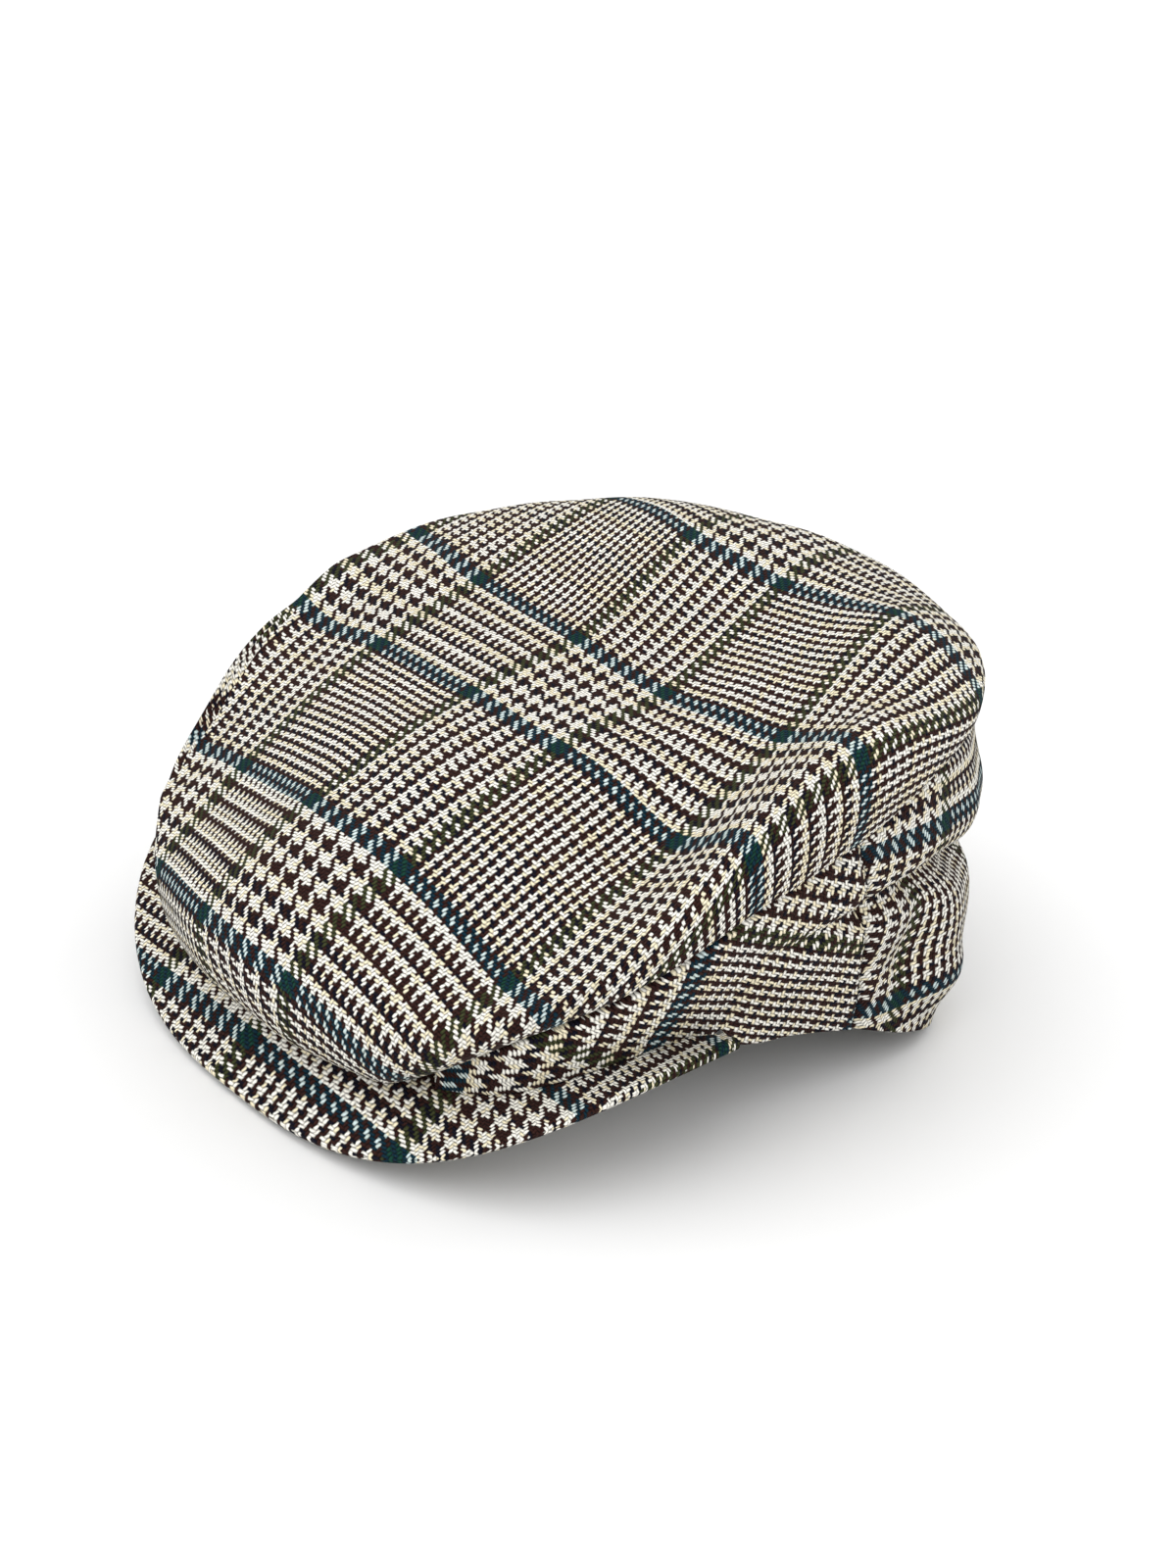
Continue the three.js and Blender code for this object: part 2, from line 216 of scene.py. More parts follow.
def top_point(turn, ring):
    """Rings 0 to 1 cross the top, rings 1 to 2 roll under to the seam."""
    seam_z = seam_point(turn)[2]
    rim_x, rim_y = outline(turn, 0)
    widest = np.minimum(CROWN_HEIGHT * station("roll", turn), top_height(rim_x, rim_y))
    roll_z = np.maximum(widest, seam_z + LEAST_ROLL)
    on_top = np.minimum(ring, 1)
    x = rim_x * on_top
    y = rim_y * on_top
    lift = np.sqrt(np.maximum(1 - on_top ** ROLL_SHARPNESS, 0))
    z = roll_z + (top_height(x, y) - roll_z) * lift
    under = np.radians(90) * np.clip(ring - 1, 0, 1)
    tuck = CROWN_HALF_WIDTH * station("seam_tuck", turn) * (1 - np.cos(under))
    under_x, under_y = outline(turn, tuck)
    under_z = roll_z + (seam_z + SEAM_GAP / 2 - roll_z) * np.sin(under)
    rolled = ring > 1
    return np.stack([np.where(rolled, under_x, x), np.where(rolled, under_y, y),
                     np.where(rolled, under_z, z)], -1)


def wall_point(turn, level):
    """Levels 0 to 1 run down the wall from the seam to its free edge."""
    seam_tuck = station("seam_tuck", turn)
    edge_tuck = station("edge_tuck", turn)
    belly = station("belly", turn) * np.sin(np.pi * level ** 0.8)
    push = np.zeros_like(turn)
    for fold_turn, fold_level, fold_push, turn_spread, level_spread in WALL_FOLDS:
        around = ((turn - fold_turn + 180) % 360 - 180) / turn_spread
        down = (level - fold_level) / level_spread
        push = push + fold_push * np.exp(-around ** 2 - down ** 2)
    settle = np.minimum(np.minimum(level, 1 - level) * 4, 1)
    tuck = seam_tuck + (edge_tuck - seam_tuck) * level - belly - push * settle
    x, y = outline(turn, CROWN_HALF_WIDTH * tuck)
    top = seam_point(turn)[2] - SEAM_GAP / 2
    foot = np.minimum(edge_height(turn, x, y), top)
    return np.stack([x, y, top + (foot - top) * level], -1)


# The camera stands where the photo's perspective puts it: degrees, metres and photo pixels
CAMERA_AZIMUTH = 47.17
CAMERA_ELEVATION = 25.78
CAMERA_ROLL = 3.23
CAMERA_PLACE = (0.4263, -0.3865, 0.3400)
FOCAL_PIXELS = 2324.0
PHOTO_SIZE = (1200.0, 1600.0)
SENSOR = 36.0


def camera_axes():
    """Columns: the camera's right, up and backward directions."""
    azimuth = math.radians(CAMERA_AZIMUTH)
    elevation = math.radians(CAMERA_ELEVATION)
    roll = math.radians(CAMERA_ROLL)
    right = np.array((math.cos(azimuth), math.sin(azimuth), 0))
    level = np.array((math.sin(azimuth), -math.cos(azimuth), 0))
    up = np.array((0, 0, 1)) * math.cos(elevation) - level * math.sin(elevation)
    backward = np.array((0, 0, 1)) * math.sin(elevation) + level * math.cos(elevation)
    turned_right = right * math.cos(roll) + up * math.sin(roll)
    turned_up = up * math.cos(roll) - right * math.sin(roll)
    return np.stack([turned_right, turned_up, backward], -1)


CAMERA_AXES = camera_axes()


def photo_pixels(points):
    """Photo pixels of places in millimetres, and how far each is in front of the camera."""
    seen = (points * MM - CAMERA_PLACE) @ CAMERA_AXES
    depth = -seen[..., 2]
    across = PHOTO_SIZE[0] / 2 + FOCAL_PIXELS * seen[..., 0] / depth
    down = PHOTO_SIZE[1] / 2 - FOCAL_PIXELS * seen[..., 1] / depth
    return np.stack([across, down], -1), depth / MM


# Cloth charts

THREAD_ACROSS = 0.80
THREAD_ALONG = 0.85
THREADS_PER_UV = 100.0
RIM_BULGE = 0.2

# Crossings of the check's lines on the crown, read from the photo:
# photo pixels across and down, threads across and along
CHECK_CROSSINGS = (
    (163, 882, 0, 0), (205, 930, 58, 0), (289, 1004, 106, 0),
    (245, 782, 0, 48), (318, 817, 58, 48), (403, 889, 106, 48), (520, 1006, 164, 48),
    (303, 603, -48, 118), (388, 655, 0, 118), (483, 706, 58, 118), (570, 760, 106, 118),
    (697, 858, 164, 118), (768, 867, 212, 118),
    (428, 545, -48, 166), (483, 593, 0, 166), (590, 655, 58, 166), (672, 705, 106, 166),
    (800, 750, 164, 166), (875, 773, 212, 166),
    (708, 542, 58, 236), (800, 597, 106, 236), (918, 625, 164, 236),
)
PIXELS_PER_DEPTH = 0.04


def grid_normals(points, wrap):
    """Outward directions of a grid of points whose rows run down and columns run round."""
    if wrap:
        padded = np.concatenate([points[:, -1:], points, points[:, :1]], 1)
        d_col = (padded[:, 2:] - padded[:, :-2])
    else:
        d_col = np.gradient(points, axis=1)
    d_row = np.gradient(points, axis=0)
    normal = np.cross(d_row, d_col)
    length = np.linalg.norm(normal, axis=-1, keepdims=True)
    return normal / np.maximum(length, 1e-9)


def arc(points, axis):
    """Arc length along one axis of a grid, starting at 0."""
    steps = np.linalg.norm(np.diff(points, axis=axis), axis=-1)
    total = np.cumsum(steps, axis)
    zero = np.zeros_like(np.take(total, [0], axis))
    return np.concatenate([zero, total], axis)


def thin_plate(sources, values, smooth):
    """A smooth surface through scattered values; returns a function of places."""
    def kernel(a, b):
        d = np.linalg.norm(a[:, None] - b[None], axis=-1)
        return d ** 2 * np.log(np.maximum(d, 1e-6))
    n = len(sources)
    matrix = np.zeros((n + 3, n + 3))
    matrix[:n, :n] = kernel(sources, sources) + smooth * np.eye(n)
    matrix[:n, n] = 1
    matrix[:n, n + 1:] = sources
    matrix[n, :n] = 1
    matrix[n + 1:, :n] = sources.T
    weights = np.linalg.solve(matrix, np.concatenate([values, np.zeros(3)]))

    def read(places):
        flat = places.reshape(-1, 2)
        out = np.zeros(len(flat))
        for start in range(0, len(flat), 20000):
            part = flat[start:start + 20000]
            out[start:start + 20000] = (kernel(part, sources) @ weights[:n] + weights[n]
                                        + part @ weights[n + 1:])
        return out.reshape(places.shape[:-1])
    return read


# Meshes

def mesh_object(name, vertices, faces, uv, worn):
    """A mesh in millimetres with its cloth chart in threads and how worn each place is."""
    mesh = bpy.data.meshes.new(name)
    mesh.from_pydata((vertices * MM).tolist(), [], faces)
    layer = mesh.uv_layers.new(name="cloth")
    corners = np.empty(len(mesh.loops), dtype=np.int32)
    mesh.loops.foreach_get("vertex_index", corners)
    layer.data.foreach_set("uv", (uv[corners] / THREADS_PER_UV).ravel())
    wear = mesh.attributes.new("worn", "FLOAT", "POINT")
    wear.data.foreach_set("value", worn)
    mesh.polygons.foreach_set("use_smooth", np.ones(len(mesh.polygons), dtype=bool))
    mesh.update()
    obj = bpy.data.objects.new(name, mesh)
    bpy.context.scene.collection.objects.link(obj)
    return obj


def shell(name, outer, inner, uv, worn, wrap=False, pole=False):
    """A closed wall between two grids. The first row of a poled grid is a single point."""
    rows, cols = outer.shape[:2]
    vertices = []
    coords = []
    wear = []
    index = {}

    def add(points, charts, worn_part, key):
        index[key] = sum(len(v) for v in vertices)
        vertices.append(points.reshape(-1, 3))
        coords.append(charts.reshape(-1, 2))
        wear.append(worn_part.ravel())

    first = 1 if pole else 0
    if pole:
        add(outer[0, :1], uv[0, :1], worn[0, :1], "outer_pole")
        add(inner[0, :1], uv[0, :1], worn[0, :1], "inner_pole")
    add(outer[first:], uv[first:], worn[first:], "outer")
    add(inner[first:], uv[first:], worn[first:], "inner")
    height = rows - first
    count = cols if wrap else cols - 1

    def out_id(r, c):
        return index["outer"] + r * cols + c % cols

    def in_id(r, c):
        return index["inner"] + r * cols + c % cols

    faces = []
    for r in range(height - 1):
        for c in range(count):
            faces.append((out_id(r, c), out_id(r + 1, c), out_id(r + 1, c + 1), out_id(r, c + 1)))
            faces.append((in_id(r, c), in_id(r, c + 1), in_id(r + 1, c + 1), in_id(r + 1, c)))
    if pole:
        for c in range(cols):
            faces.append((index["outer_pole"], out_id(0, c), out_id(0, c + 1)))
            faces.append((index["inner_pole"], in_id(0, c + 1), in_id(0, c)))

    def add_rim(row, row_before, key):
        """Rounds the wall's free edge with one middle row; the cloth turns over it."""
        away = outer[row] - outer[row_before]
        length = np.maximum(np.linalg.norm(away, axis=-1, keepdims=True), 1e-3)
        wall = np.linalg.norm(outer[row] - inner[row], axis=-1, keepdims=True)
        middle = (outer[row] + inner[row]) / 2 + away / length * wall * RIM_BULGE
        middle[..., 2] = np.maximum(middle[..., 2], 0)
        turned = (uv[row] - uv[row_before]) / length * wall / 2
        add(middle, uv[row] + turned, worn[row], key)

    bottom_key = "bottom_mid"
    add_rim(rows - 1, rows - 2, bottom_key)
    e = height - 1
    for c in range(count):
        d = (c + 1) % cols if wrap else c + 1
        m0 = index[bottom_key] + c
        m1 = index[bottom_key] + d
        faces.append((out_id(e, c), m0, m1, out_id(e, c + 1)))
        faces.append((m0, in_id(e, c), in_id(e, c + 1), m1))
    if not pole:
        add_rim(0, 1, "top_mid")
        for c in range(count):
            d = (c + 1) % cols if wrap else c + 1
            m0 = index["top_mid"] + c
            m1 = index["top_mid"] + d
            faces.append((out_id(0, c + 1), m1, m0, out_id(0, c)))
            faces.append((m1, in_id(0, c + 1), in_id(0, c), m0))
    if not wrap:
        z = cols - 1
        for r in range(height - 1):
            faces.append((out_id(r + 1, 0), out_id(r, 0), in_id(r, 0), in_id(r + 1, 0)))
            faces.append((out_id(r, z), out_id(r + 1, z), in_id(r + 1, z), in_id(r, z)))
        top = index.get("top_mid")
        bottom = index[bottom_key]
        if top is not None:
            faces.append((out_id(0, 0), top, in_id(0, 0)))
            faces.append((in_id(0, z), top + z, out_id(0, z)))
        faces.append((in_id(e, 0), bottom, out_id(e, 0)))
        faces.append((out_id(e, z), bottom + z, in_id(e, z)))
    return mesh_object(name, np.concatenate(vertices), faces, np.concatenate(coords),
                       np.concatenate(wear))


def wave_set(size, count):
    """Directions and phases of soft uneven waves, the same at every run."""
    waves = []
    for _ in range(count):
        direction = RNG.normal(size=3)
        direction *= (2 * np.pi / (size * RNG.uniform(0.7, 1.6))) / np.linalg.norm(direction)
        waves.append((direction, RNG.uniform(0, 6.28)))
    return waves


def ripples(points, waves, depth):
    """Soft uneven waves, as worn cloth has."""
    out = np.zeros(points.shape[:-1])
    for direction, phase in waves:
        out += np.sin(points @ direction + phase)
    return depth * out / math.sqrt(len(waves))


def groove(distance, reach):
    """1 at a line, fading away on both sides of it."""
    return np.exp(-(distance / reach) ** 2)


# Crown top
TOP_SPOKES = 360
FLAT_RINGS = 62
RIM_RINGS = 22
UNDER_RINGS = 13
RIM_RING_START = 0.86
CHART_SCALE = 100.0
CHART_SMOOTHING = 0.02
top_rings = np.concatenate([np.linspace(0, RIM_RING_START, FLAT_RINGS),
                            np.linspace(RIM_RING_START, 1, RIM_RINGS)[1:],
                            np.linspace(1, 2, UNDER_RINGS)[1:]])
turns = np.arange(TOP_SPOKES) * 360.0 / TOP_SPOKES
T, RINGS = np.meshgrid(turns, top_rings)
crown = top_point(T, RINGS)
shift_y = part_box("crown_top")[1][1] / MM - crown[..., 1].max()
PLACE = np.array([0.0, shift_y, 0.0])
crown += PLACE

radial = arc(crown, 0)
heading = np.arctan2(crown[..., 1] - PLACE[1], crown[..., 0])
heading[0] = heading[1]
flat_x = radial * np.cos(heading)
flat_y = radial * np.sin(heading)
base = np.stack([flat_x, flat_y], -1)


crown_pixels, crown_depth = photo_pixels(crown)
towards_camera = np.array(CAMERA_PLACE) / MM - crown
faces_camera = (grid_normals(crown, True) * towards_camera).sum(-1) > 0


def flat_place(across, down):
    """The flat cloth place of the crown point that a photo pixel shows."""
    miss = np.linalg.norm(crown_pixels - (across, down), axis=-1)
    miss = miss + PIXELS_PER_DEPTH * crown_depth
    miss[~faces_camera] = np.inf
    return base[np.unravel_index(np.argmin(miss), miss.shape)]


known = np.array([flat_place(row[0], row[1]) for row in CHECK_CROSSINGS])
threads = np.array([row[2:] for row in CHECK_CROSSINGS])
extra_across = threads[:, 0] - known[:, 0] / THREAD_ACROSS
extra_along = threads[:, 1] - known[:, 1] / THREAD_ALONG
read_across = thin_plate(known / CHART_SCALE, extra_across, CHART_SMOOTHING)
read_along = thin_plate(known / CHART_SCALE, extra_along, CHART_SMOOTHING)
crown_uv = np.stack([base[..., 0] / THREAD_ACROSS + read_across(base / CHART_SCALE),
                     base[..., 1] / THREAD_ALONG + read_along(base / CHART_SCALE)], -1)

# Under the front roll the cloth is gathered towards the peak, so less of it shows
FRONT_ROLL_END_TURN = 66
FRONT_ROLL_FADE = 20
FRONT_ROLL_GATHER = 0.25
CREASE_WEAR = 0.25
CREASE_RING = 1.7
CREASE_SPREAD = 0.14
fold_front = np.clip((FRONT_ROLL_END_TURN - folded(T)) / FRONT_ROLL_FADE, 0, 1)
rim_row = int(np.argmin(np.abs(top_rings - 1)))
past_rim = (RINGS > 1)[..., None]
gathered = (1 - FRONT_ROLL_GATHER * fold_front)[..., None]
slowed = crown_uv[rim_row] + (crown_uv - crown_uv[rim_row]) * gathered
crown_uv = np.where(past_rim, slowed, crown_uv)

CROWN_RIPPLE_SIZE = 34
CROWN_RIPPLE_DEPTH = 0.45
CROWN_SEAM_DIP = 1.1
CROWN_SEAM_REACH = 0.12
ROLL_START = 0.88
crown_waves = wave_set(CROWN_RIPPLE_SIZE, 7)


def crown_outward(points, ring):
    """Up on the top, level on the rim and turning down underneath the roll."""
    level = points * (1, 1, 0)
    level = level / np.maximum(np.linalg.norm(level, axis=-1, keepdims=True), 1e-6)
    bend = np.clip((ring - ROLL_START) / (1 - ROLL_START), 0, 1)
    angle = np.radians(90) * (bend ** 2 * (3 - 2 * bend) + np.clip(ring - 1, 0, 1))
    return level * np.sin(angle)[..., None] + np.cos(angle)[..., None] * np.array((0, 0, 1))


normals = crown_outward(crown, RINGS)
wave = ripples(crown, crown_waves, CROWN_RIPPLE_DEPTH) * np.clip(2 - RINGS, 0, 1)
crown_outer = crown + normals * wave[..., None]
crown_outer -= normals * (CROWN_SEAM_DIP * groove(2 - RINGS, CROWN_SEAM_REACH))[..., None]
crown_inner = crown_outer - normals * CLOTH_WALL
crown_worn = CREASE_WEAR * groove(RINGS - CREASE_RING, CREASE_SPREAD) * fold_front
crown_cloth = shell("crown_top_cloth", crown_outer, crown_inner, crown_uv, crown_worn,
                    wrap=True, pole=True)


# Walls
WALL_RIPPLE_SIZE = 26
WALL_RIPPLE_DEPTH = 0.4
WALL_WAVES = wave_set(WALL_RIPPLE_SIZE, 6)
WALL_SEAM_DIP = 1.5
WALL_SEAM_REACH = 0.035
PANEL_SEAM_REACH = 1.6
PEAK_END_FOOT_TURN = 75.0
PEAK_END_FOOT_SPREAD = 4.5
PEAK_END_FOOT_DROP = 3.5

# Turns at the top and the bottom of each panel's end
HALF_GAP = math.degrees(SEAM_GAP / 2 / CROWN_HALF_WIDTH)
tip = (SIDE_TIP_TURN, SIDE_TIP_TURN)
side_end = (SIDE_SEAM_TOP - HALF_GAP, SIDE_SEAM_BOTTOM - HALF_GAP)
back_start = (SIDE_SEAM_TOP + HALF_GAP, SIDE_SEAM_BOTTOM + HALF_GAP)


def mirror(pair):
    return (360 - pair[0], 360 - pair[1])


def wall_grid(first, second, columns, rows):
    """Turns and levels of a panel's grid, and millimetres from its two ends."""
    levels = np.linspace(0, 1, rows)
    share = np.linspace(0, 1, columns)
    L, S = np.meshgrid(levels, share, indexing="ij")
    start = first[0] + (first[1] - first[0]) * L
    end = second[0] + (second[1] - second[0]) * L
    turn = start + (end - start) * S
    from_start = np.abs(turn - start) * math.radians(CROWN_HALF_WIDTH)
    from_end = np.abs(end - turn) * math.radians(CROWN_HALF_WIDTH)
    return turn, L, from_start, from_end


def wall_piece(name, first, second, columns, rows, chart):
    """A panel of the wall between two ends, with dips along its seams."""
    turn, level, from_start, from_end = wall_grid(first, second, columns, rows)
    points = wall_point(turn, level) + PLACE
    outward = points * (1, 1, 0)
    outward /= np.linalg.norm(outward, axis=-1, keepdims=True)
    inset = WALL_SEAM_DIP * groove(level, WALL_SEAM_REACH)
    if first != tip:
        inset = np.maximum(inset, WALL_SEAM_DIP * groove(from_start, PANEL_SEAM_REACH))
    if second != mirror(tip):
        inset = np.maximum(inset, WALL_SEAM_DIP * groove(from_end, PANEL_SEAM_REACH))
    inside = np.minimum(1, np.minimum(level, 1 - level) * 6)
    wave = ripples(points, WALL_WAVES, WALL_RIPPLE_DEPTH) * inside
    points = points + outward * (wave - inset)[..., None]
    # The foot hangs a little lower where it passes the peak's end
    foot = groove(folded(turn) - PEAK_END_FOOT_TURN, PEAK_END_FOOT_SPREAD)
    points[..., 2] -= PEAK_END_FOOT_DROP * foot * np.clip(3 * level - 2, 0, 1)
    inner = points - outward * CLOTH_WALL
    plan = inner - PLACE
    under = over_peak(turn) & (plan[..., 1] < -PEAK_END_SETBACK)
    clear = peak_top(plan[..., 0], plan[..., 1]) + PEAK_CLEARANCE
    inner[..., 2] = np.where(under, np.maximum(inner[..., 2], clear), inner[..., 2])
    worn = np.zeros_like(level)
    return shell(name, points, inner, chart(turn, level, points), worn)


# Where the olive and the teal line cross the side panel, in millimetres
SIDE_OLIVE_HEIGHT = 57.1
SIDE_OLIVE_Y = 1.4
SIDE_OLIVE_SLOPE = 0.44
SIDE_TEAL_Y = -45.5
SIDE_TEAL_HEIGHT = 50.0
SIDE_TEAL_LEAN = 0.156
SIDE_SQUEEZE_DOWN = 0.96
SIDE_SQUEEZE_ALONG = 0.79
SIDE_GUIDE_LEVEL = 0.4
SIDE_GUIDE_TURN = 72.0
MIRRORED_THREADS = 144


def side_chart(turn, level, points):
    """The cloth runs straight along the side and bends round with the wall at its tip."""
    all_turns = np.linspace(SIDE_TIP_TURN, SIDE_SEAM_BOTTOM, 300)
    guide = wall_point(all_turns, np.full_like(all_turns, SIDE_GUIDE_LEVEL))
    plan_arc = arc(guide[None, :, :2], 1)[0]
    bent = plan_arc - guide[:, 1]
    bent -= np.interp(SIDE_GUIDE_TURN, all_turns, bent)
    y = points[..., 1] + np.minimum(np.interp(folded(turn), all_turns, bent), 0)
    z = points[..., 2]
    olive_height = SIDE_OLIVE_HEIGHT - SIDE_OLIVE_SLOPE * (y - SIDE_OLIVE_Y)
    across = 212 + (olive_height - z) * SIDE_SQUEEZE_DOWN / THREAD_ACROSS
    teal_y = SIDE_TEAL_Y + SIDE_TEAL_LEAN * (z - SIDE_TEAL_HEIGHT)
    along = 166 + (y - teal_y) * SIDE_SQUEEZE_ALONG / THREAD_ALONG
    return np.stack([across, along], -1)


def mirrored_side_chart(turn, level, points):
    chart = side_chart(turn, level, points)
    chart[..., 0] = MIRRORED_THREADS - chart[..., 0]
    return chart


BACK_OLIVE_TURN = 110.0
BACK_GUIDE_LEVEL = 0.33
BACK_LINE_HEIGHT = 82.5
BACK_LINE_FALL = 0.08
BACK_LINE_BEND_Y = 12.0
BACK_THREAD_DOWN = 0.95


def back_chart(turn, level, points):
    """The cloth runs round the back; its teal line hangs at one height and falls to the rear."""
    third = points.shape[0] // 3
    all_turns = np.linspace(SIDE_SEAM_TOP - 4, 360 - SIDE_SEAM_TOP + 4, 400)
    guide = wall_point(all_turns, np.full_like(all_turns, BACK_GUIDE_LEVEL))
    guide_arc = arc(guide[None], 1)[0]
    anchor = np.interp(BACK_OLIVE_TURN, all_turns, guide_arc)
    around = np.interp(turn, all_turns, guide_arc)
    down = arc(points, 0)
    behind = np.maximum(points[third, :, 1] - BACK_LINE_BEND_Y, 0)
    line_height = BACK_LINE_HEIGHT - BACK_LINE_FALL * behind
    line_down = np.array([np.interp(-line_height[c], -points[:, c, 2], down[:, c])
                          for c in range(points.shape[1])])
    across = 164 - (around - anchor) / THREAD_ACROSS
    along = 284 + (down - line_down) / BACK_THREAD_DOWN
    return np.stack([across, along], -1)


side_left = wall_piece("side_left_cloth", tip, side_end, columns=150, rows=70,
                       chart=side_chart)
side_right = wall_piece("side_right_cloth", mirror(side_end), mirror(tip), columns=150, rows=70,
                        chart=mirrored_side_chart)
back = wall_piece("back_panel_cloth", back_start, mirror(back_start), columns=330, rows=80,
                  chart=back_chart)


# Peak
# Where the check's lines lie across the peak: x in millimetres, threads
PEAK_LINES_X = (-110.0, -50.0, -10.0, 57.5, 110.0)
PEAK_LINES_U = (-122.0, -48.0, 0.0, 58.0, 118.0)
PEAK_TEAL_Y = -100.4
PEAK_RIM_ROWS = 9
PEAK_RIM_BULGE = 1.5
PEAK_STRETCH = 1.26
PEAK_SIDE_STRETCH = 0.15
PEAK_SIDE_X = 82.0


def peak_grid(columns, rows):
    """Places on the peak's upper face, from its root under the crown out to its rim."""
    swing = np.radians(np.linspace(-90, 90, columns))
    power = 2 / PEAK_SQUARENESS
    narrowing = np.maximum(np.cos(swing), 0) ** 0.8
    root = 0.94 - (PEAK_DEPTH / PEAK_LENGTH - 0.06) * narrowing
    down = np.linspace(0, 1, rows)[:, None]
    rim = 1 - PEAK_RIM_BULGE / PEAK_LENGTH
    share = root[None] + (rim - root[None]) * down
    side = np.sin(swing)[None]
    ahead = np.maximum(np.cos(swing), 0)[None]
    x = PEAK_OFFSET + PEAK_HALF_WIDTH * share * np.sign(side) * np.abs(side) ** power
    y = -PEAK_END_SETBACK - PEAK_LENGTH * share * ahead ** power
    return np.stack([x, y, peak_top(x, y)], -1) + PLACE


def peak_piece(name, columns, rows):
    """The peak as one closed skin: over its top, round its rim and back underneath."""
    top = peak_grid(columns, rows)
    x = top[..., 0]
    y = top[..., 1]
    stretch = PEAK_STRETCH + PEAK_SIDE_STRETCH * (x / PEAK_SIDE_X) ** 2
    chart = np.stack([np.interp(x, PEAK_LINES_X, PEAK_LINES_U),
                      stretch * (y - PEAK_TEAL_Y) / THREAD_ALONG], -1)
    edge = top[-1]
    away = (edge - top[-2]) * (1, 1, 0)
    away /= np.linalg.norm(away, axis=-1, keepdims=True)
    step = np.linalg.norm(edge - top[-2], axis=-1, keepdims=True)
    gradient = (chart[-1] - chart[-2]) / step
    skin = [top]
    charts = [chart]
    angles = np.linspace(0, math.pi, PEAK_RIM_ROWS + 2)[1:-1]
    half = PEAK_THICKNESS / 2
    for angle in angles:
        out = away * (PEAK_RIM_BULGE * math.sin(angle))
        fall = np.array([0, 0, half * (1 - math.cos(angle))])
        skin.append((edge + out - fall)[None])
        arc_share = min(angle, math.pi - angle)
        charts.append((chart[-1] + gradient * arc_share * (half + PEAK_RIM_BULGE) / 2)[None])
    skin.append((top - (0, 0, PEAK_THICKNESS))[::-1])
    charts.append(chart[::-1])
    skin = np.concatenate(skin)
    charts = np.concatenate(charts)
    loop = skin.shape[0]
    faces = []
    for r in range(loop):
        below = (r + 1) % loop
        for c in range(columns - 1):
            faces.append((r * columns + c, below * columns + c,
                          below * columns + c + 1, r * columns + c + 1))
    last = columns - 1
    for k in range((loop - 1) // 2):
        ring = (k, k + 1, loop - 2 - k, loop - 1 - k)
        if ring[1] == ring[2]:
            ring = (ring[0], ring[1], ring[3])
        faces.append(tuple(r * columns for r in reversed(ring)))
        faces.append(tuple(r * columns + last for r in ring))
    worn = np.zeros(skin.shape[:2])
    return mesh_object(name, skin.reshape(-1, 3), faces, charts.reshape(-1, 2), worn.ravel())


peak = peak_piece("peak_cloth", columns=260, rows=44)


# Materials

class Graph:
    """Short names for wiring math nodes in one node tree."""

    def __init__(self, tree):
        self.tree = tree

    def node(self, kind, **settings):
        made = self.tree.nodes.new(kind)
        for key, value in settings.items():
            setattr(made, key, value)
        return made

    def put(self, socket, value):
        if isinstance(value, bpy.types.NodeSocket):
            self.tree.links.new(value, socket)
        else:
            socket.default_value = value

    def math(self, operation, *values):
        made = self.node("ShaderNodeMath", operation=operation)
        for socket, value in zip(made.inputs, values):
            self.put(socket, value)
        return made.outputs[0]

    def mix(self, share, first, second):
        made = self.node("ShaderNodeMix", data_type="RGBA")
        self.put(made.inputs[0], share)
        self.put(made.inputs[6], first)
        self.put(made.inputs[7], second)
        return made.outputs[2]

    def noise(self, vector, scale, detail=2.0):
        made = self.node("ShaderNodeTexNoise")
        self.put(made.inputs["Vector"], vector)
        made.inputs["Scale"].default_value = scale
        made.inputs["Detail"].default_value = detail
        return made.outputs["Fac"]

    def white(self, value):
        made = self.node("ShaderNodeTexWhiteNoise", noise_dimensions="1D")
        self.put(made.inputs["W"], value)
        return made.outputs["Value"]

    def split(self, vector):
        made = self.node("ShaderNodeSeparateXYZ")
        self.put(made.inputs[0], vector)
        return made.outputs

    def combine(self, x, y, z=0.0):
        made = self.node("ShaderNodeCombineXYZ")
        for socket, value in zip(made.inputs, (x, y, z)):
            self.put(socket, value)
        return made.outputs[0]


def rgb(r, g, b):
    """Screen colour 0-255 to linear."""
    line = []
    for value in (r, g, b):
        c = value / 255.0
        line.append(c / 12.92 if c <= 0.04045 else ((c + 0.055) / 1.055) ** 2.4)
    return (*line, 1.0)


CREAM = rgb(250, 247, 237)
CREAM_YELLOW = rgb(240, 226, 186)
PLUM = rgb(48, 25, 22)
NAVY_BLACK = rgb(12, 12, 28)
OLIVE = rgb(58, 62, 36)
TEAL = rgb(8, 42, 56)
PALE_BLUE = rgb(188, 214, 218)
GREEN = rgb(16, 60, 50)
WORN_GREY = rgb(150, 144, 136)
NAP = rgb(150, 132, 116)


# The check counted in threads: broad stripes, narrow stripes and the lines between the parts
COARSE_THREADS = 52.0
BROAD_STRIPE = 4.0
NARROW_STRIPE = 2.0
LINE_THREADS = 6.0
LINE_OVERHANG = 2.0
OLIVE_REPEAT = 106.0
OLIVE_START = -50.0
TEAL_REPEAT = 118.0
TEAL_START = -2.0

